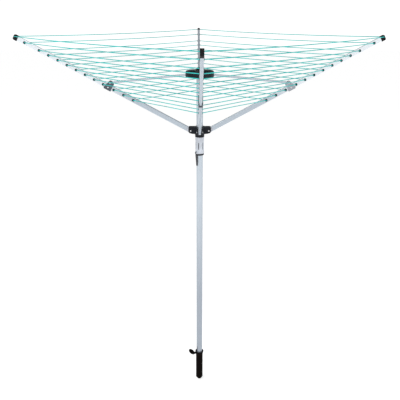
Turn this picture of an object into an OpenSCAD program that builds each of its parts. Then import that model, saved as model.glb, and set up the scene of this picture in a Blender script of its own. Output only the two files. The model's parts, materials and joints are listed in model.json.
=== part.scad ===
/* [Overall] */
// Radius at which the outermost clothesline runs
line_reach = 1000; // [960:5:1040]
// Slope of an open arm above the horizontal, in degrees
arm_slope = 28.4; // [27.8:0.1:29]
// Height of the arm pivots above the ground
pivot_z = 1565.5; // [1500:0.5:1650]
// Height of the strut pivots in the top hub above the arm pivots
strut_rise = 315; // [310:1:320]

/* [Mast] */
// Outer diameter of the mast tube
mast_d = 38; // [37.6:0.1:38.2]
// Wall of the mast tube
mast_wall = 1.5; // [1.3:0.1:1.8]
// How far the mast tube's upper end stands above the top hub
mast_over_hub = 1; // [0.8:0.1:6]

/* [Ground socket] */
// Diameter of the shank that stands in the ground
shank_d = 46; // [45:0.5:48]
// Length of the straight part of the shank
shank_len = 187; // [180:1:220]
// Angle to which the lid stands open, in degrees
lid_open = 147; // [140:1:150]

/* [Arms] */
// Width of an arm tube
arm_w = 15; // [14:0.5:15]
// Depth of an arm tube
arm_d = 28; // [26:0.5:28]
// Wall of an arm tube
arm_wall = 1.2; // [1:0.1:1.5]
// Diameter of a clothesline
line_d = 4; // [2.5:0.1:4.2]

/* [Struts] */
// Width of a strut
strut_w = 11; // [10:0.5:11]
// Depth of a strut
strut_d = 12.5; // [11:0.5:13]

/* [Hubs] */
// Radius of the top hub
top_hub_r = 80; // [78:1:84]
// Height of the top hub
top_hub_h = 38; // [34:1:44]
// Radius of the runner hub's lobes
lobe_r = 64.5; // [64:0.5:66]

/* [Hidden] */
$fn = 48;
ARMS = 4;

// Mast, its bearing and its hubs all turn about the Z axis
mast_r = mast_d / 2;
mast_bore_r = mast_r - mast_wall;
sleeve_r = mast_r + 0.3;
shank_r = shank_d / 2;
shank_top = 1;
shank_bottom = shank_top - shank_len;
socket_tip = shank_bottom - 14;
socket_bore_r = mast_r + 0.5;
socket_floor = shank_bottom + 14;
rim_top = 26;
rim_r = shank_r + 5;
lid_seat = 14;
lid_seat_r = shank_r + 0.8;
lid_r = lid_seat_r - 0.4;
lid_t = 5;
lid_hinge = [-shank_r - 3, 9];
lid_pin_r = 1.5;
foot_flange_t = 8;
mast_bottom = socket_floor + foot_flange_t + 0.6;

// Arm and strut pivots, in the plane of one arm: radius from the mast, then height
pivot_r = 52;
strut_pivot = [62, pivot_z + strut_rise];
knee_along = 522.2;
knee_up = 25;
knee = [
    pivot_r + knee_along * cos(arm_slope) - knee_up * sin(arm_slope),
    pivot_z + knee_along * sin(arm_slope) + knee_up * cos(arm_slope)
];
strut_len = norm(strut_pivot - knee);
strut_dir = atan2(strut_pivot[1] - knee[1], strut_pivot[0] - knee[0]);

// Radii of the line holders on an arm: the outer end, one alone, a run of eight, a run of three
guide_radii = concat(
    [line_reach - 51], [for (k = [0:7]) line_reach - 125 - 48 * k],
    [for (k = [0:2]) line_reach - 518 - 53 * k]
);
hole_drop = -1;
cap_hole_up = 3;
line_r = line_d / 2;
line_bend_y = 9.5;
line_gap = 0.15;

arm_pin_r = 4;
strut_pin_r = 3;
running_fit = 0.05;
tube_start = 26;
cap_start = along(line_reach) - 18;
cap_end = along(line_reach) + 6;
hub_slot_w = 13;
cheek_t = 3.4;
cheek_y = 11;
lobe_w = 32;
hub_bottom = pivot_z + 300.5;
hub_top = hub_bottom + top_hub_h;
mast_top = hub_top + mast_over_hub;
lever_azimuth = 225;

// Distance along an arm from its pivot at which its axis reaches radius r
function along(r) = (r - pivot_r) / cos(arm_slope);
// The same for a hole that lies a distance up from the arm's axis
function hole_along(r, up) = (r - pivot_r + up * sin(arm_slope)) / cos(arm_slope);
function hole_z(r, up) = pivot_z + hole_along(r, up) * sin(arm_slope) + up * cos(arm_slope);

module along_y(r, h) { rotate([90, 0, 0]) cylinder(r = r, h = h, center = true); }
module ring(r_out, r_in, z0, z1) {
    translate([0, 0, z0]) difference() {
        cylinder(r = r_out, h = z1 - z0);
        translate([0, 0, -1]) cylinder(r = r_in, h = z1 - z0 + 2);
    }
}
module rounded_rect(w, h, r) {
    square([w - 2 * r, h], center = true);
    square([w, h - 2 * r], center = true);
    for (x = [-1, 1], y = [-1, 1]) translate([x * (w / 2 - r), y * (h / 2 - r)]) circle(r = r);
}
// A bar along X from x0 to x1, w wide in Y and d deep in Z
module bar(x0, x1, w, d, r) {
    translate([x0, 0, 0]) rotate([90, 0, 90]) linear_extrude(x1 - x0) rounded_rect(w, d, r);
}
// A flat outline in the XZ plane, w thick and centred on Y
module plate(w) { rotate([90, 0, 0]) linear_extrude(w, center = true) children(); }
module each_arm() { for (n = [0:ARMS - 1]) rotate([0, 0, 90 * n]) children(); }
module turned(n) { rotate([0, 0, 90 * (n - 1)]) children(); }
// The frame of one arm: X along it from its pivot, Z up from its axis
module arm_frame(n) { turned(n) translate([pivot_r, 0, pivot_z]) rotate([0, -arm_slope, 0]) children(); }
// The frame of one strut: X from its knee pin towards the top hub
module strut_frame(n) { turned(n) translate([knee[0], 0, knee[1]]) rotate([0, -strut_dir, 0]) children(); }

// ---- Ground socket ----

module ground_socket() {
    color("#17171a") difference() {
        union() {
            rotate_extrude($fn = 96) polygon([
                [0, socket_tip], [shank_r - 9, socket_tip], [shank_r, shank_bottom], [shank_r, shank_top],
                [rim_r - 0.6, rim_top - 1.5], [rim_r, rim_top - 1], [rim_r, rim_top],
                [lid_seat_r + 2, rim_top], [lid_seat_r, lid_seat], [socket_bore_r, lid_seat],
                [socket_bore_r, socket_floor], [0, socket_floor]
            ]);
            for (s = [-1, 1]) translate([0, s * 7.1, 0]) {
                translate([lid_hinge[0], 0, lid_hinge[1]]) along_y(4.2, 3.8);
                translate([lid_hinge[0], -1.9, lid_hinge[1] - 4.2]) cube([4, 3.8, 8.4]);
            }
        }
        translate([-40, -5.2, lid_hinge[1] - 4.6]) cube([40 - socket_bore_r, 10.4, 30]);
        translate([lid_hinge[0], 0, lid_hinge[1]]) along_y(lid_pin_r + 0.01, 30);
        translate([0, 0, socket_tip - 1]) cylinder(r = 4, h = 40);
    }
}

module lid_pin() {
    color("silver") translate([lid_hinge[0], 0, lid_hinge[1]]) along_y(lid_pin_r, 18.4);
}

module socket_lid() {
    color("#1c1c20")
    translate([lid_hinge[0], 0, lid_hinge[1]]) rotate([0, -lid_open, 0])
    translate([-lid_hinge[0], 0, -lid_hinge[1]]) difference() {
        union() {
            translate([0, 0, lid_seat + 0.2]) rotate_extrude($fn = 64) polygon([
                [0, 0], [lid_r - 0.6, 0], [lid_r, 0.6], [lid_r, lid_t - 1.2],
                [lid_r - 1.2, lid_t], [lid_r - 4, lid_t], [lid_r - 5, lid_t - 0.8], [0, lid_t - 0.8]
            ]);
            translate([lid_hinge[0], -4.7, lid_hinge[1]]) cube([8, 9.4, lid_seat + lid_t - lid_hinge[1]]);
            translate([lid_hinge[0], 0, lid_hinge[1]]) along_y(4.1, 9.4);
        }
        translate([lid_hinge[0], 0, lid_hinge[1]]) along_y(lid_pin_r + running_fit, 12);
        for (y = [-12, 0, 12]) translate([0, y, lid_seat - 1]) cylinder(r = 3, h = 3);
    }
}

module foot_bearing() {
    color("#2b2b2f") difference() {
        union() {
            translate([0, 0, socket_floor + 0.3]) cylinder(r = mast_r, h = foot_flange_t);
            translate([0, 0, socket_floor + 0.3]) cylinder(r = mast_bore_r - 0.3, h = foot_flange_t + 24);
        }
        translate([0, 0, socket_floor]) cylinder(r = 4, h = 60);
        translate([0, 0, socket_floor + 14]) cylinder(r = mast_bore_r - 4, h = 40);
    }
}

// ---- Mast ----

module mast_tube() {
    color("#cfdbe6") difference() {
        ring(mast_r, mast_bore_r, mast_bottom, mast_top);
        rotate([0, 0, 45]) translate([0, 0, strut_pivot[1]]) rotate([0, 90, 0])
            cylinder(r = 3.05, h = 60, center = true);
    }
}

module top_hub() {
    color("#131316") difference() {
        rotate_extrude($fn = 96) polygon([
            [mast_r + 0.03, hub_bottom - 4], [27, hub_bottom - 4], [30, hub_bottom],
            [top_hub_r - 5, hub_bottom], [top_hub_r, hub_bottom + 5], [top_hub_r, hub_top - 8],
            [top_hub_r - 5, hub_top - 2], [top_hub_r - 9, hub_top - 1], [33, hub_top], [mast_r + 0.03, hub_top]
        ]);
        each_arm() {
            translate([30, -hub_slot_w / 2, hub_bottom - 10]) cube([60, hub_slot_w, 60]);
            translate([strut_pivot[0], 0, strut_pivot[1]]) along_y(strut_pin_r + 0.01, hub_slot_w + 15);
        }
        for (q = [0:3]) rotate([0, 0, 90 * q + 24]) {
            rotate_extrude(angle = 42, $fn = 96) translate([36, hub_bottom + 5]) square([12, 40]);
            rotate([0, 0, -4]) rotate_extrude(angle = 50, $fn = 96)
                translate([51, hub_bottom + 5]) square([22, 40]);
        }
        rotate([0, 0, 45]) translate([0, 0, strut_pivot[1]]) rotate([0, 90, 0])
            cylinder(r = 3.05, h = 84, center = true);
    }
}

// The bolt that fixes the top hub through the mast
module hub_bolt() {
    color("silver") rotate([0, 0, 45]) translate([0, 0, strut_pivot[1]]) rotate([0, 90, 0]) {
        cylinder(r = 3, h = 78, center = true);
        for (s = [-1, 1]) translate([0, 0, s * 38.4]) cylinder(r = 5.4, h = 4.6, $fn = 6, center = true);
    }
}

module strut_pivot_pins() {
    color("silver") each_arm() for (s = [-1, 1])
        translate([strut_pivot[0], s * (hub_slot_w / 2 + 3.8), strut_pivot[1]]) along_y(strut_pin_r, 7.2);
}

module mast_cap() {
    color("#55585c") rotate_extrude($fn = 64) polygon([
        [0, mast_top - 12], [mast_bore_r - 0.1, mast_top - 12], [mast_bore_r - 0.1, mast_top],
        [mast_r + 1.2, mast_top], [mast_r + 1.2, mast_top + 8], [mast_r - 0.6, mast_top + 12],
        [mast_r - 5, mast_top + 14], [0, mast_top + 15]
    ]);
}

// ---- Runner ----

module lobe_outline() {
    low = pivot_z - 2;
    translate([20, low]) square([lobe_r - 25, 24.5]);
    translate([20, low]) square([lobe_r - 20, 19.5]);
    translate([lobe_r - 5, low + 19.5]) circle(r = 5);
    translate([lobe_r - 12.5, low]) circle(r = 12.5);
    polygon([[20, low], [lobe_r - 12.5, low], [lobe_r - 12.5, low - 12.5], [44, low - 15], [20, low - 17]]);
}

module runner_hub() {
    color("#141418") difference() {
        union() {
            translate([0, 0, pivot_z - 37]) cylinder(r = 27, h = 59.5, $fn = 64);
            translate([0, 0, pivot_z - 20]) cylinder(r = 31, h = 42.5, $fn = 64);
            each_arm() plate(lobe_w) lobe_outline();
        }
        translate([0, 0, pivot_z - 60]) cylinder(r = sleeve_r, h = 120, $fn = 64);
        each_arm() {
            translate([34, -hub_slot_w / 2, pivot_z - 40]) cube([60, hub_slot_w, 80]);
            translate([pivot_r, 0, pivot_z]) along_y(arm_pin_r + 0.01, 60);
            for (s = [-1, 1]) translate([0, s * 15.5, 0]) plate(2.4)
                polygon([
                    [33, pivot_z - 13], [42, pivot_z - 12], [44.5, pivot_z - 5], [44.5, pivot_z + 5],
                    [50, pivot_z + 9], [60, pivot_z + 11], [60, pivot_z + 17], [33, pivot_z + 17]
                ]);
        }
    }
}

module runner_collar() {
    collar_bottom = pivot_z - 134.5;
    collar_top = pivot_z - 37;
    color("#c9cfd6") difference() {
        union() {
            rotate_extrude($fn = 72) polygon([
                [21.05, collar_bottom], [25, collar_bottom], [25.5, collar_bottom + 0.5],
                [25.5, collar_bottom + 16], [24.7, collar_bottom + 17.5], [24.7, collar_bottom + 74],
                [25.5, collar_bottom + 75.5], [25.5, collar_top], [21.05, collar_top]
            ]);
            rotate([0, 0, lever_azimuth]) for (s = [-1, 1]) {
                translate([23, s * 6.4 - 1.6, collar_bottom]) cube([5, 3.2, 11]);
                translate([28, s * 6.4, collar_bottom + 5.5]) along_y(5.5, 3.2);
            }
        }
        for (k = [0:5]) rotate([0, 0, 15.5 + 60 * k]) {
            translate([15, -2.4, pivot_z - 108]) cube([20, 4.8, 36]);
            for (z = [-108, -72]) translate([15, 0, pivot_z + z]) rotate([0, 90, 0]) cylinder(r = 2.4, h = 20);
        }
        rotate([0, 0, lever_azimuth]) {
            translate([15, -4.8, collar_bottom - 1]) cube([30, 9.6, 13.5]);
            translate([28, 0, collar_bottom + 5.5]) along_y(2.01, 30);
        }
    }
}

// The dark lining that glides on the mast: it shows in the collar's slots and as the ring below it
module glide_sleeve() {
    bottom = pivot_z - 145.5;
    color("#2f3338") difference() {
        union() {
            ring(21, sleeve_r, bottom, pivot_z - 39);
            rotate_extrude($fn = 72) polygon([
                [20, bottom], [24.2, bottom], [25.2, bottom + 1], [25.2, bottom + 10.8], [20, bottom + 10.8]
            ]);
        }
        translate([0, 0, bottom - 1]) cylinder(r = sleeve_r, h = 200, $fn = 64);
        rotate([0, 0, lever_azimuth]) translate([21.4, -4.8, bottom - 1]) cube([20, 9.6, 14]);
        for (k = [1:7]) rotate([0, 0, lever_azimuth + 45 * k])
            translate([23.4, -2.5, bottom - 1]) cube([10, 5, 7]);
    }
}

module arm_pivot_pins() {
    color("#dfe2e5") each_arm() translate([pivot_r, 0, pivot_z]) {
        along_y(arm_pin_r, lobe_w + 0.4);
        for (s = [-1, 1]) translate([0, s * (lobe_w / 2 + 1), 0]) rotate([-90 * s, 0, 0])
            translate([0, 0, -1]) cylinder(r1 = 5, r2 = 3.8, h = 2);
    }
}

module lever_pin() {
    color("silver") rotate([0, 0, lever_azimuth]) translate([28, 0, pivot_z - 129]) along_y(2, 17);
}

module release_lever() {
    top = pivot_z - 129;
    color("#54585e") rotate([0, 0, lever_azimuth]) difference() {
        intersection() {
            union() {
                translate([28, 0, top]) along_y(5, 9.2);
                plate(9.2) polygon([[23.6, top - 1], [32, top - 1], [29.6, top - 30], [26.4, top - 60],
                    [25.6, top - 78], [23.6, top - 80], [20.9, top - 78], [21.2, top - 50]]);
            }
            translate([0, 0, top - 80]) rotate([90, 0, 90]) linear_extrude(60)
                polygon([[-3.4, 0], [3.4, 0], [3.9, 2], [4.6, 66], [4.6, 90], [-4.6, 90], [-4.6, 66], [-3.9, 2]]);
        }
        translate([28, 0, top]) along_y(2 + running_fit, 20);
    }
}

// ---- Arms ----

module arm_tube(n) {
    color("#dbe3ea") arm_frame(n) difference() {
        bar(tube_start, cap_start, arm_w, arm_d, 4);
        bar(tube_start - 1, cap_start + 1, arm_w - 2 * arm_wall, arm_d - 2 * arm_wall, 2.8);
        for (r = guide_radii) translate([hole_along(r, hole_drop), 0, hole_drop]) along_y(3.55, 40);
        translate([knee_along, 0, -3]) along_y(2.42, 40);
    }
}

module arm_root(n) {
    color("#e6ebef") arm_frame(n) difference() {
        union() {
            bar(0, tube_start, 12, arm_d, 2);
            along_y(arm_d / 2, 12);
            bar(tube_start - 4, tube_start + 36, arm_w - 2 * arm_wall - 0.4, arm_d - 2 * arm_wall - 0.4, 2.6);
        }
        along_y(arm_pin_r + running_fit, 40);
        bar(16, tube_start + 40, 7, 18, 2);
    }
}

module arm_cap(n) {
    color("#4c5054") arm_frame(n) difference() {
        union() {
            intersection() {
                bar(cap_start, cap_end, arm_w + 1, arm_d + 4, 3);
                plate(arm_w + 2) {
                    translate([cap_start, -arm_d / 2 - 0.6]) square([cap_end - cap_start - 7, arm_d + 2.2]);
                    translate([cap_start, -arm_d / 2 + 6.4]) square([cap_end - cap_start, arm_d - 12]);
                    for (z = [-arm_d / 2 + 6.4, arm_d / 2 - 5.6]) translate([cap_end - 7, z]) circle(r = 7);
                }
            }
            bar(cap_start - 22, cap_start + 1, arm_w - 2 * arm_wall - 0.4, arm_d - 2 * arm_wall - 0.4, 2.6);
        }
        bar(cap_start - 30, cap_start - 2, 8, 18, 2);
        translate([hole_along(line_reach, cap_hole_up), 0, cap_hole_up]) along_y(2.3, 40);
    }
}

// The bushes that carry the lines through the arm
module line_guides(n) {
    color("#1b1e21") arm_frame(n) for (r = guide_radii)
        translate([hole_along(r, hole_drop), 0, hole_drop]) rotate([90, 0, 0]) rotate_extrude($fn = 32)
            polygon([
                [2.3, -8.6], [2.8, -9.1], [5.1, -9.1], [5.8, -8.4], [5.8, -arm_w / 2], [3.5, -arm_w / 2],
                [3.5, arm_w / 2], [5.8, arm_w / 2], [5.8, 8.4], [5.1, 9.1], [2.8, 9.1], [2.3, 8.6]
            ]);
}

module strut_bracket(n) {
    inner = cheek_y - cheek_t;
    color("#4a4d52") arm_frame(n) difference() {
        union() {
            for (s = [-1, 1]) translate([0, s * (inner + cheek_t / 2), 0]) plate(cheek_t) {
                polygon([[501, -17.5], [541, -17.5], [544, -13], [544, -4], [534, 20],
                    [529, 33], [525, 36], [515, 36], [500.5, 25]]);
                translate([knee_along, knee_up]) circle(r = 11);
            }
            translate([501, -cheek_y, -17.5]) cube([12, 2 * cheek_y, 2.6]);
        }
        translate([knee_along, 0, knee_up]) along_y(strut_pin_r + 0.01, 40);
        translate([knee_along, 0, -3]) along_y(2.42, 40);
    }
}

module bracket_rivet(n) {
    color("#e4e6e8") arm_frame(n) translate([knee_along, 0, -3]) {
        along_y(2.4, 2 * cheek_y + 0.2);
        for (s = [-1, 1]) translate([0, s * cheek_y, 0]) rotate([-90 * s, 0, 0]) cylinder(r1 = 5, r2 = 3, h = 2);
    }
}

module strut_pin(n) {
    color("#dfe3e6") arm_frame(n) translate([knee_along, 0, knee_up]) {
        along_y(strut_pin_r, 2 * cheek_y + 0.2);
        for (s = [-1, 1]) translate([0, s * cheek_y, 0]) rotate([-90 * s, 0, 0]) cylinder(r1 = 5.5, r2 = 4, h = 1.8);
    }
}

// One pass of the line through the arm, with the half spans to the neighbouring arms on both sides
module line_pass(r, up) {
    run = [-r / 2, r / 2 - line_bend_y];
    translate([r, 0, hole_z(r, up)]) {
        along_y(line_r, 2 * line_bend_y);
        for (s = [-1, 1]) translate([0, s * line_bend_y, 0]) {
            sphere(r = line_r + 0.06);
            rotate([0, 0, atan2(s * run[1], run[0])]) rotate([0, 90, 0])
                cylinder(r = line_r, h = norm(run) - line_gap);
        }
    }
}

module clothesline(n) {
    color("#3fc3ab") turned(n) {
        $fn = 24;
        line_pass(line_reach, cap_hole_up);
        for (r = guide_radii) line_pass(r, hole_drop);
    }
}

// ---- Struts ----

module strut_bar(n) {
    color("#dbe3ea") strut_frame(n) difference() {
        bar(12, strut_len - 14, strut_w, strut_d, 2);
        bar(11, strut_len, strut_w - 2.4, strut_d - 2.4, 1);
    }
}

module strut_ends(n) {
    color("#3c4045") strut_frame(n) {
        difference() {
            union() {
                along_y(6.4, 14.6);
                bar(0, 12, strut_w, strut_d, 2);
                bar(10, 34, strut_w - 2.8, strut_d - 2.8, 1);
            }
            along_y(strut_pin_r + running_fit, 30);
        }
        difference() {
            union() {
                translate([strut_len, 0, 0]) along_y(6.4, strut_w);
                bar(strut_len - 14, strut_len, strut_w, strut_d, 2);
                bar(strut_len - 36, strut_len - 12, strut_w - 2.8, strut_d - 2.8, 1);
            }
            translate([strut_len, 0, 0]) along_y(strut_pin_r + running_fit, 30);
        }
    }
}

ground_socket();
lid_pin();
socket_lid();
foot_bearing();
mast_tube();
top_hub();
hub_bolt();
strut_pivot_pins();
mast_cap();
runner_hub();
runner_collar();
glide_sleeve();
arm_pivot_pins();
lever_pin();
release_lever();
for (n = [1:ARMS]) {
    arm_tube(n);
    arm_root(n);
    arm_cap(n);
    line_guides(n);
    strut_bracket(n);
    bracket_rivet(n);
    strut_pin(n);
    clothesline(n);
    strut_bar(n);
    strut_ends(n);
}
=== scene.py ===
import json
from math import atan2, cos, pi, radians, sin, tan

import bpy
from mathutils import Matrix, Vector


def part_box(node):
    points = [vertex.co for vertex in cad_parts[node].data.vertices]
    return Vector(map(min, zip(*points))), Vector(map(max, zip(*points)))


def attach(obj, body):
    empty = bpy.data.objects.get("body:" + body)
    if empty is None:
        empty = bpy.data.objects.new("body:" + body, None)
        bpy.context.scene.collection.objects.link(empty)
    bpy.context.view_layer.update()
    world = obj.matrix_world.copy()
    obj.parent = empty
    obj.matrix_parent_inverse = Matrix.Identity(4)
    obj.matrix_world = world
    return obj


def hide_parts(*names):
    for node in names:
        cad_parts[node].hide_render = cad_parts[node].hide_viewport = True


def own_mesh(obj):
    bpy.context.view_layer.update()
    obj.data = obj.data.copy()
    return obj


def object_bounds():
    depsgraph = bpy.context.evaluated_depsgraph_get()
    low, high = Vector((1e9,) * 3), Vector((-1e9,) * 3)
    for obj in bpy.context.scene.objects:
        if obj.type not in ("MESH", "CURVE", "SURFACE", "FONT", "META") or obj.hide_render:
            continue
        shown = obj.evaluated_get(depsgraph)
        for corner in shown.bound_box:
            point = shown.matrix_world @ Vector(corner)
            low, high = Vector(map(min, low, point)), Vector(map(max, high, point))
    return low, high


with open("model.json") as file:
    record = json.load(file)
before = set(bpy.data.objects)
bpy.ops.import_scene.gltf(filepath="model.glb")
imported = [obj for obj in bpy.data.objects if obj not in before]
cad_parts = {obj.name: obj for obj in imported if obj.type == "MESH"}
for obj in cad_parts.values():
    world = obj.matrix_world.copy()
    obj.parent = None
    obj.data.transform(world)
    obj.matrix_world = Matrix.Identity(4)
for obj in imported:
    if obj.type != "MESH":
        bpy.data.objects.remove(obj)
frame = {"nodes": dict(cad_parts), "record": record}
cad_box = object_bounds()

NODES = frame["nodes"]
ARMS = (1, 2, 3, 4)
JOINT = {j["name"]: j for j in frame["record"]["behaviour"]["joints"]}

# As the part has them: the slope of an open arm, the radius of the strut pivots in the top hub, and the line's
# diameter
ARM_SLOPE = radians(28.4)
STRUT_PIVOT_R = 0.062
LINE_D = 0.004

# How far the floor lies below the part, and how far it reaches
FLOOR_GAP = 0.02
FLOOR_REACH = 30

# ---- Camera ----

scene = bpy.context.scene
camera = bpy.data.objects.new("camera", bpy.data.cameras.new("camera"))
scene.collection.objects.link(camera)
camera.data.lens = 45.18
camera.data.sensor_width = 36
camera.location = (-0.0238, -2.856, 2.2243)
camera.rotation_euler = (radians(90 - 20.89), radians(-0.1), radians(-0.49))
bpy.context.scene.camera = camera

# ---- Floor and light ----

scene.view_settings.view_transform = "Standard"


def new_material(name):
    """A material with its Principled shader, as (material, shader, add, join)."""
    material = bpy.data.materials.new(name)
    material.use_nodes = True
    tree = material.node_tree
    shader = tree.nodes["Principled BSDF"]

    def add(kind, **values):
        """A node of that kind: its inputs by name where it has such a socket, and its own settings."""
        node = tree.nodes.new("ShaderNode" + kind)
        for key, value in values.items():
            if key in node.inputs:
                node.inputs[key].default_value = value
            else:
                setattr(node, key, value)
        return node

    return material, shader, add, tree.links.new


def object_from(name, vertices, faces, smooth=True):
    """An object with that mesh, in the scene."""
    mesh = bpy.data.meshes.new(name)
    mesh.from_pydata([tuple(v) for v in vertices], [], [tuple(f) for f in faces])
    mesh.validate()
    if smooth:
        mesh.polygons.foreach_set("use_smooth", [True] * len(mesh.polygons))
    made = bpy.data.objects.new(name, mesh)
    scene.collection.objects.link(made)
    return made


floor_z = cad_box[0][2] - FLOOR_GAP
corners = ((-1, -1), (1, -1), (1, 1), (-1, 1))
floor_vertices = [(x * FLOOR_REACH, y * FLOOR_REACH, floor_z) for x, y in corners]
floor = object_from("floor", floor_vertices, [(0, 1, 2, 3)])
floor_paint, floor_shader, _, _ = new_material("floor_paint")
floor_shader.inputs["Base Color"].default_value = (0.9, 0.9, 0.9, 1)
floor_shader.inputs["Roughness"].default_value = 0.9
floor_shader.inputs["Emission Color"].default_value = (1, 1, 1, 1)
floor_shader.inputs["Emission Strength"].default_value = 0.46
floor.data.materials.append(floor_paint)

# The studio is white to look at. It lights the object less than that, and less from behind than from the front.
world = bpy.data.worlds.new("studio")
world.use_nodes = True
studio = world.node_tree
direction = studio.nodes.new("ShaderNodeTexCoord")
compass = studio.nodes.new("ShaderNodeSeparateXYZ")
around = studio.nodes.new("ShaderNodeMapRange")
around.inputs["From Min"].default_value, around.inputs["From Max"].default_value = -1, 1
around.inputs["To Min"].default_value, around.inputs["To Max"].default_value = 0.8, 0.4
light_path = studio.nodes.new("ShaderNodeLightPath")
level = studio.nodes.new("ShaderNodeMapRange")
level.inputs["To Max"].default_value = 1.1
studio.links.new(direction.outputs["Generated"], compass.inputs["Vector"])
studio.links.new(compass.outputs["Y"], around.inputs["Value"])
studio.links.new(around.outputs["Result"], level.inputs["To Min"])
studio.links.new(light_path.outputs["Is Camera Ray"], level.inputs["Value"])
studio.links.new(level.outputs["Result"], studio.nodes["Background"].inputs["Strength"])
studio.nodes["Background"].inputs["Color"].default_value = (1, 1, 1, 1)
scene.world = world


def softbox(name, place, target, size, power):
    """A rectangular lamp that faces its target."""
    light = bpy.data.lights.new(name, "AREA")
    light.shape = "RECTANGLE"
    light.size, light.size_y = size
    light.energy = power
    lamp = bpy.data.objects.new(name, light)
    lamp.location = place
    lamp.rotation_euler = (Vector(target) - Vector(place)).to_track_quat("-Z", "Y").to_euler()
    scene.collection.objects.link(lamp)


softbox("key", (-2.6, -3.2, 4.2), (0, 0, 1.2), (2.5, 2.5), 90)
softbox("fill", (3.4, -2.2, 2.4), (0, 0, 1.2), (2.0, 2.5), 25)

# ---- Materials ----


def drawn_metal(name, colour, rotation=(0, 0, 0), along="Z", rough=0.34, darkened=None):
    """Anodised aluminium: fine lines drawn along one axis of a turned frame, faint mottling and scuffs."""
    material, shader, add, join = new_material(name)
    place = add("TexCoord")
    stretch = [1, 1, 1]
    stretch["XYZ".index(along)] = 90
    turned = add("Mapping", vector_type="TEXTURE", Rotation=rotation, Scale=stretch)
    join(place.outputs["Object"], turned.inputs["Vector"])
    lines = add("TexNoise", Scale=900, Detail=4, Roughness=0.6)
    join(turned.outputs["Vector"], lines.inputs["Vector"])
    mottle = add("TexNoise", Scale=14, Detail=5, Roughness=0.55)
    join(place.outputs["Object"], mottle.inputs["Vector"])
    scuff = add("TexNoise", Scale=160, Detail=6, Roughness=0.7)
    join(place.outputs["Object"], scuff.inputs["Vector"])

    tone = add("ValToRGB")
    tone.color_ramp.elements[0].position, tone.color_ramp.elements[1].position = 0.3, 0.72
    tone.color_ramp.elements[0].color = (*[c * 0.96 for c in colour], 1)
    tone.color_ramp.elements[1].color = (*[min(1, c * 1.02) for c in colour], 1)
    join(mottle.outputs["Fac"], tone.inputs["Fac"])
    streaked = add("Mix", data_type="RGBA", blend_type="MULTIPLY")
    streaked.inputs["Factor"].default_value = 0.35
    grey = add("ValToRGB")
    grey.color_ramp.elements[0].position, grey.color_ramp.elements[1].position = 0.32, 0.6
    grey.color_ramp.elements[0].color, grey.color_ramp.elements[1].color = (0.8, 0.8, 0.82, 1), (1, 1, 1, 1)
    join(lines.outputs["Fac"], grey.inputs["Fac"])
    join(tone.outputs["Color"], streaked.inputs["A"])
    join(grey.outputs["Color"], streaked.inputs["B"])
    top = streaked.outputs["Result"]
    # Painted shade, where one is given, darkens the colour towards one end along an axis
    if darkened:
        top = painted_shade(add, join, place, top, *darkened)
    join(top, shader.inputs["Base Color"])

    gloss = add("MapRange")
    gloss.inputs["From Min"].default_value, gloss.inputs["From Max"].default_value = 0.3, 0.75
    gloss.inputs["To Min"].default_value, gloss.inputs["To Max"].default_value = rough - 0.07, rough + 0.12
    join(scuff.outputs["Fac"], gloss.inputs["Value"])
    join(gloss.outputs["Result"], shader.inputs["Roughness"])
    bump = add("Bump", Strength=0.12, Distance=0.0002)
    join(lines.outputs["Fac"], bump.inputs["Height"])
    join(bump.outputs["Normal"], shader.inputs["Normal"])
    shader.inputs["Metallic"].default_value = 0.75
    return material


def painted_shade(add, join, place, colour, axis, low, high, share, grey):
    """The colour with painted shade: darkened towards the near end of a distance along one axis."""
    split = add("SeparateXYZ")
    join(place.outputs["Object"], split.inputs["Vector"])
    fade = add("MapRange", interpolation_type="SMOOTHSTEP")
    fade.inputs["From Min"].default_value, fade.inputs["From Max"].default_value = low, high
    fade.inputs["To Min"].default_value, fade.inputs["To Max"].default_value = share, 0
    distance = add("Math", operation="ABSOLUTE")
    join(split.outputs[axis], distance.inputs[0])
    join(distance.outputs["Value"], fade.inputs["Value"])
    greyed = add("Mix", data_type="RGBA", blend_type="MULTIPLY")
    greyed.inputs["B"].default_value = (*grey, 1)
    join(fade.outputs["Result"], greyed.inputs["Factor"])
    join(colour, greyed.inputs["A"])
    return greyed.outputs["Result"]


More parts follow.
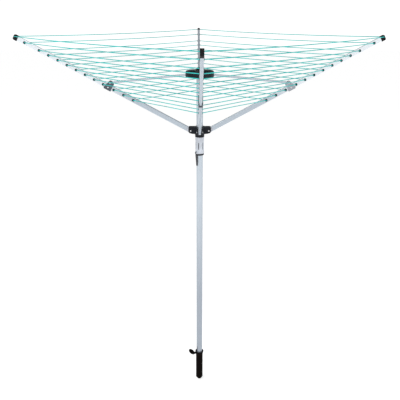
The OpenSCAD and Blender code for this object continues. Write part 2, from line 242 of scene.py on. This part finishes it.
def moulded(name, colour, rough=0.45, grain=1400, grain_depth=0.00012, wear=0.25, specular=0.25):
    """Moulded plastic: fine grain, a slow drift of colour, and paler rubbed patches."""
    material, shader, add, join = new_material(name)
    place = add("TexCoord")
    fine = add("TexNoise", Scale=grain, Detail=3, Roughness=0.5)
    broad = add("TexNoise", Scale=22, Detail=4, Roughness=0.6)
    rubbed = add("TexNoise", Scale=85, Detail=7, Roughness=0.72)
    for node in (fine, broad, rubbed):
        join(place.outputs["Object"], node.inputs["Vector"])
    tone = add("ValToRGB")
    tone.color_ramp.elements[0].position, tone.color_ramp.elements[1].position = 0.3, 0.7
    tone.color_ramp.elements[0].color = (*[c * 0.82 for c in colour], 1)
    tone.color_ramp.elements[1].color = (*[min(1, c * 1.15) for c in colour], 1)
    join(broad.outputs["Fac"], tone.inputs["Fac"])
    patch = add("MapRange")
    patch.inputs["From Min"].default_value, patch.inputs["From Max"].default_value = 0.55, 0.8
    patch.inputs["To Max"].default_value = wear
    join(rubbed.outputs["Fac"], patch.inputs["Value"])
    worn = add("Mix", data_type="RGBA")
    worn.inputs["B"].default_value = (*[min(1, c * 1.6 + 0.008) for c in colour], 1)
    join(patch.outputs["Result"], worn.inputs["Factor"])
    join(tone.outputs["Color"], worn.inputs["A"])
    join(worn.outputs["Result"], shader.inputs["Base Color"])
    gloss = add("MapRange")
    gloss.inputs["From Min"].default_value, gloss.inputs["From Max"].default_value = 0.3, 0.7
    gloss.inputs["To Min"].default_value, gloss.inputs["To Max"].default_value = rough - 0.08, rough + 0.1
    join(rubbed.outputs["Fac"], gloss.inputs["Value"])
    join(gloss.outputs["Result"], shader.inputs["Roughness"])
    bump = add("Bump", Strength=0.25, Distance=grain_depth)
    join(fine.outputs["Fac"], bump.inputs["Height"])
    join(bump.outputs["Normal"], shader.inputs["Normal"])
    shader.inputs["Specular IOR Level"].default_value = specular
    return material


def plated_steel(name, colour=(0.78, 0.79, 0.81), rough=0.26):
    """Zinc-plated steel: bright, with a faint crystal pattern and turning marks."""
    material, shader, add, join = new_material(name)
    place = add("TexCoord")
    crystal = add("TexVoronoi", Scale=420)
    haze = add("TexNoise", Scale=120, Detail=5, Roughness=0.6)
    for node in (crystal, haze):
        join(place.outputs["Object"], node.inputs["Vector"])
    tone = add("ValToRGB")
    tone.color_ramp.elements[0].color = (*[c * 0.82 for c in colour], 1)
    tone.color_ramp.elements[1].color = (*colour, 1)
    join(haze.outputs["Fac"], tone.inputs["Fac"])
    join(tone.outputs["Color"], shader.inputs["Base Color"])
    gloss = add("MapRange")
    gloss.inputs["To Min"].default_value, gloss.inputs["To Max"].default_value = rough - 0.06, rough + 0.14
    join(crystal.outputs["Distance"], gloss.inputs["Value"])
    join(gloss.outputs["Result"], shader.inputs["Roughness"])
    bump = add("Bump", Strength=0.1, Distance=0.0001)
    join(haze.outputs["Fac"], bump.inputs["Height"])
    join(bump.outputs["Normal"], shader.inputs["Normal"])
    shader.inputs["Metallic"].default_value = 1
    return material


def coated_line(name, colour):
    """The clothesline's PVC coat: glossy, slightly uneven, with faint marks from pegs."""
    material, shader, add, join = new_material(name)
    place = add("TexCoord")
    drift = add("TexNoise", Scale=9, Detail=4, Roughness=0.6)
    marks = add("TexNoise", Scale=260, Detail=5, Roughness=0.65)
    for node in (drift, marks):
        join(place.outputs["Object"], node.inputs["Vector"])
    tone = add("ValToRGB")
    tone.color_ramp.elements[0].position, tone.color_ramp.elements[1].position = 0.3, 0.7
    tone.color_ramp.elements[0].color = (*[c * 0.78 for c in colour], 1)
    tone.color_ramp.elements[1].color = (*[min(1, c * 1.18) for c in colour], 1)
    join(drift.outputs["Fac"], tone.inputs["Fac"])
    join(tone.outputs["Color"], shader.inputs["Base Color"])
    gloss = add("MapRange")
    gloss.inputs["From Min"].default_value, gloss.inputs["From Max"].default_value = 0.35, 0.7
    gloss.inputs["To Min"].default_value, gloss.inputs["To Max"].default_value = 0.28, 0.5
    join(marks.outputs["Fac"], gloss.inputs["Value"])
    join(gloss.outputs["Result"], shader.inputs["Roughness"])
    bump = add("Bump", Strength=0.2, Distance=0.0002)
    join(marks.outputs["Fac"], bump.inputs["Height"])
    join(bump.outputs["Normal"], shader.inputs["Normal"])
    return material


# ---- CAD nodes' materials ----

# Painted shade and light on the metal, matched to measured tones: the mast darker towards its foot, arms 1
# and 3 paler outwards. Each: the axis, where the darkening is full and where it ends, its share, and its grey
MAST_PAINTED_SHADE = ("Z", 0.35, 1.3, 0.6, (0.42, 0.42, 0.46))
ARM_PAINTED_SHADE = ("X", 0.35, 0.62, 1, (0.59, 0.63, 0.67))

paint = {
    "mast_aluminium": drawn_metal("mast_aluminium", (0.55, 0.61, 0.67), darkened=MAST_PAINTED_SHADE),
    "socket_plastic": moulded("socket_plastic", (0.0035, 0.0018, 0.0014), rough=0.58, wear=0.1, specular=0.03),
    "hub_plastic": moulded("hub_plastic", (0.004, 0.006, 0.011), rough=0.36, wear=0.15, specular=0.22),
    "dark_nylon": moulded("dark_nylon", (0.03, 0.033, 0.038), rough=0.38),
    "grey_plastic": moulded("grey_plastic", (0.007, 0.0075, 0.0085), rough=0.5, specular=0.12),
    "bracket_plastic": moulded("bracket_plastic", (0.085, 0.095, 0.118), rough=0.36, specular=0.3),
    "lever_plastic": moulded("lever_plastic", (0.05, 0.053, 0.06), rough=0.42),
    "guide_plastic": moulded("guide_plastic", (0.003, 0.004, 0.0045), rough=0.45, specular=0.05),
    "collar_plastic": moulded("collar_plastic", (0.54, 0.57, 0.63), rough=0.35, wear=0.2, specular=0.4),
    "steel": plated_steel("steel"),
}
line_coat = coated_line("line_pvc", (0.002, 0.50, 0.47))


def azimuth(n):
    """The direction of arm n, from +X towards +Y."""
    return radians(90 * (n - 1))


def outwards(n, radial, side, up):
    """The point that lies so far out along arm n's azimuth, to its left and up, in the part's frame."""
    c, s = round(cos(azimuth(n))), round(sin(azimuth(n)))
    return Vector((c * radial - s * side, s * radial + c * side, up))


def coat(node, material):
    """Puts the material on every slot of a CAD node."""
    for place in NODES[node].material_slots:
        place.material = material


knee = Vector(JOINT["strut_fold_1"]["pos_m"])
pivot_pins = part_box("strut_pivot_pins")
strut_pivot = Vector((STRUT_PIVOT_R, 0, (pivot_pins[0].z + pivot_pins[1].z) / 2))
strut_slope = atan2(strut_pivot.z - knee.z, strut_pivot.x - knee.x)

slot_of = {p["node"]: p["material_slot"] for p in frame["record"]["subparts"]}
for node, slot in slot_of.items():
    if slot in paint:
        coat(node, paint[slot])
for n in ARMS:
    # Arms 1 and 3 carry painted light: their outer halves are painted paler, with painted shade towards the
    # mast
    painted_light_arm = n in (1, 3)
    arm_metal = drawn_metal(
        f"arm_aluminium_{n}",
        (0.84, 0.88, 0.92) if painted_light_arm else (0.50, 0.56, 0.62),
        rotation=(0, -ARM_SLOPE, azimuth(n)),
        along="X",
        rough=0.3,
        darkened=ARM_PAINTED_SHADE if painted_light_arm else None,
    )
    coat(f"arm_tube_{n}", arm_metal)
    strut_metal = drawn_metal(
        f"strut_aluminium_{n}",
        (0.57, 0.63, 0.69),
        rotation=(0, -strut_slope, azimuth(n)),
        along="X",
        rough=0.3,
    )
    coat(f"strut_bar_{n}", strut_metal)

# Arm 1's bracket carries painted light: a paler, lit copy of the bracket plastic
painted_light_bracket = moulded("bracket_plastic_painted_light", (0.32, 0.33, 0.37), rough=0.36, specular=0.3)
coat("strut_bracket_1", painted_light_bracket)

# ---- Clotheslines ----

arm_pivot = Vector(JOINT["arm_fold_1"]["pos_m"])
line_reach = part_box("clothesline_1")[1].x - LINE_D / 2
# Each hole's height above the arm's axis: in the end cap, and in the guides
CAP_HOLE_UP = 0.003
GUIDE_HOLE_UP = -0.001
# The line's passes through an arm, as each one's radius and its hole's height: the cap, a guide alone, a run of
# eight guides and a run of three
PASSES = [(line_reach, CAP_HOLE_UP), (line_reach - 0.051, GUIDE_HOLE_UP)]
PASSES += [(line_reach - 0.125 - 0.048 * k, GUIDE_HOLE_UP) for k in range(8)]
PASSES += [(line_reach - 0.518 - 0.053 * k, GUIDE_HOLE_UP) for k in range(3)]
# How far from the arm's middle a line is straight, where it bends out of its hole, the bend's radius, and how
# far the longest half span hangs
LINE_STRAIGHT_Y = 0.004
LINE_BEND_Y = 0.0095
LINE_BEND_R = 0.0025
LINE_SAG = 0.008
BEND_STEPS = 4
SPAN_STEPS = 16


def along_arm(radius, up):
    """How far along an arm from its pivot a hole lies."""
    return (radius - arm_pivot.x + up * sin(ARM_SLOPE)) / cos(ARM_SLOPE)


def hole_height(radius, up):
    """The height above the ground of a hole in an open arm."""
    return arm_pivot.z + along_arm(radius, up) * sin(ARM_SLOPE) + up * cos(ARM_SLOPE)


def tube(name, path, radius, sides=10):
    """A closed round tube along a path."""
    path = [Vector(p) for p in path]
    count = len(path)
    tangents = [(path[min(i + 1, count - 1)] - path[max(i - 1, 0)]).normalized() for i in range(count)]
    across = tangents[0].orthogonal().normalized()
    vertices, faces = [], []
    for i, (point, tangent) in enumerate(zip(path, tangents)):
        across = (across - across.dot(tangent) * tangent).normalized()
        other = tangent.cross(across)
        for k in range(sides):
            angle = 2 * pi * k / sides
            vertices.append(point + radius * (cos(angle) * across + sin(angle) * other))
        if i:
            for k in range(sides):
                a, b = (i - 1) * sides + k, (i - 1) * sides + (k + 1) % sides
                faces.append((a, b, b + sides, a + sides))
    faces.append(tuple(reversed(range(sides))))
    faces.append(tuple(range((count - 1) * sides, count * sides)))
    return object_from(name, vertices, faces)


def half_span(radius, side, height):
    """The line from the middle of the arm round its edge and half way to the next arm, hanging slightly."""
    half = radius / 2
    turn = atan2(half, half - LINE_BEND_Y)
    setback = LINE_BEND_R * tan(turn / 2)
    points = [(radius, 0, 0), (radius, LINE_STRAIGHT_Y, 0)]
    for k in range(BEND_STEPS + 1):
        angle = turn * k / BEND_STEPS
        points.append((
            radius - LINE_BEND_R * (1 - cos(angle)),
            LINE_BEND_Y - setback + LINE_BEND_R * sin(angle),
            0,
        ))
    start = points[-1]
    for k in range(1, SPAN_STEPS + 1):
        t = k / SPAN_STEPS
        sag = LINE_SAG * (radius / line_reach) ** 2 * (1 - (1 - t) ** 2)
        points.append((start[0] + (half - start[0]) * t, start[1] + (half - start[1]) * t, -sag))
    return [(x, side * y, height + z) for x, y, z in points]


def fall_to_arm(line):
    """Gives the half span a mesh of its own."""
    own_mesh(line)


# The flange on each side of a line guide, as distances from the hole's axis and from the arm's middle
FLANGE = (
    (0.0056, 0.0074), (0.0069, 0.0074), (0.0073, 0.0077),
    (0.0073, 0.0081), (0.0069, 0.0085), (0.0056, 0.0085),
)
FLANGE_SIDES = 24


def guide_flanges(n):
    """The flanges of arm n's line guides, as closed rings."""
    vertices, faces = [], []
    count = len(FLANGE)
    for radius, up in PASSES[1:]:
        height = hole_height(radius, up)
        for side in (-1, 1):
            first = len(vertices)
            for k in range(FLANGE_SIDES):
                angle = 2 * pi * k / FLANGE_SIDES
                for r, y in FLANGE:
                    vertices.append(outwards(n, radius + r * cos(angle), side * y, height + r * sin(angle)))
                for j in range(count):
                    here, there = first + k * count, first + (k + 1) % FLANGE_SIDES * count
                    ring = (here + j, here + (j + 1) % count, there + (j + 1) % count, there + j)
                    faces.append(ring[::side])
    return object_from(f"guide_flanges_{n}", vertices, faces, smooth=False)


for n in ARMS:
    flanges = guide_flanges(n)
    flanges.data.materials.append(paint["guide_plastic"])
    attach(flanges, f"arm_{n}")

for n in ARMS:
    for index, (radius, up) in enumerate(PASSES):
        height = hole_height(radius, up)
        for side in (-1, 1):
            path = [outwards(n, *p) for p in half_span(radius, side, height)]
            line = tube(f"line_{n}_{index + 1}_{'r' if side < 0 else 'l'}", path, LINE_D / 2)
            line.data.materials.append(line_coat)
            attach(line, f"arm_{n}")
            fall_to_arm(line)
            if index == 0 and side < 0:
                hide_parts(f"clothesline_{n}")
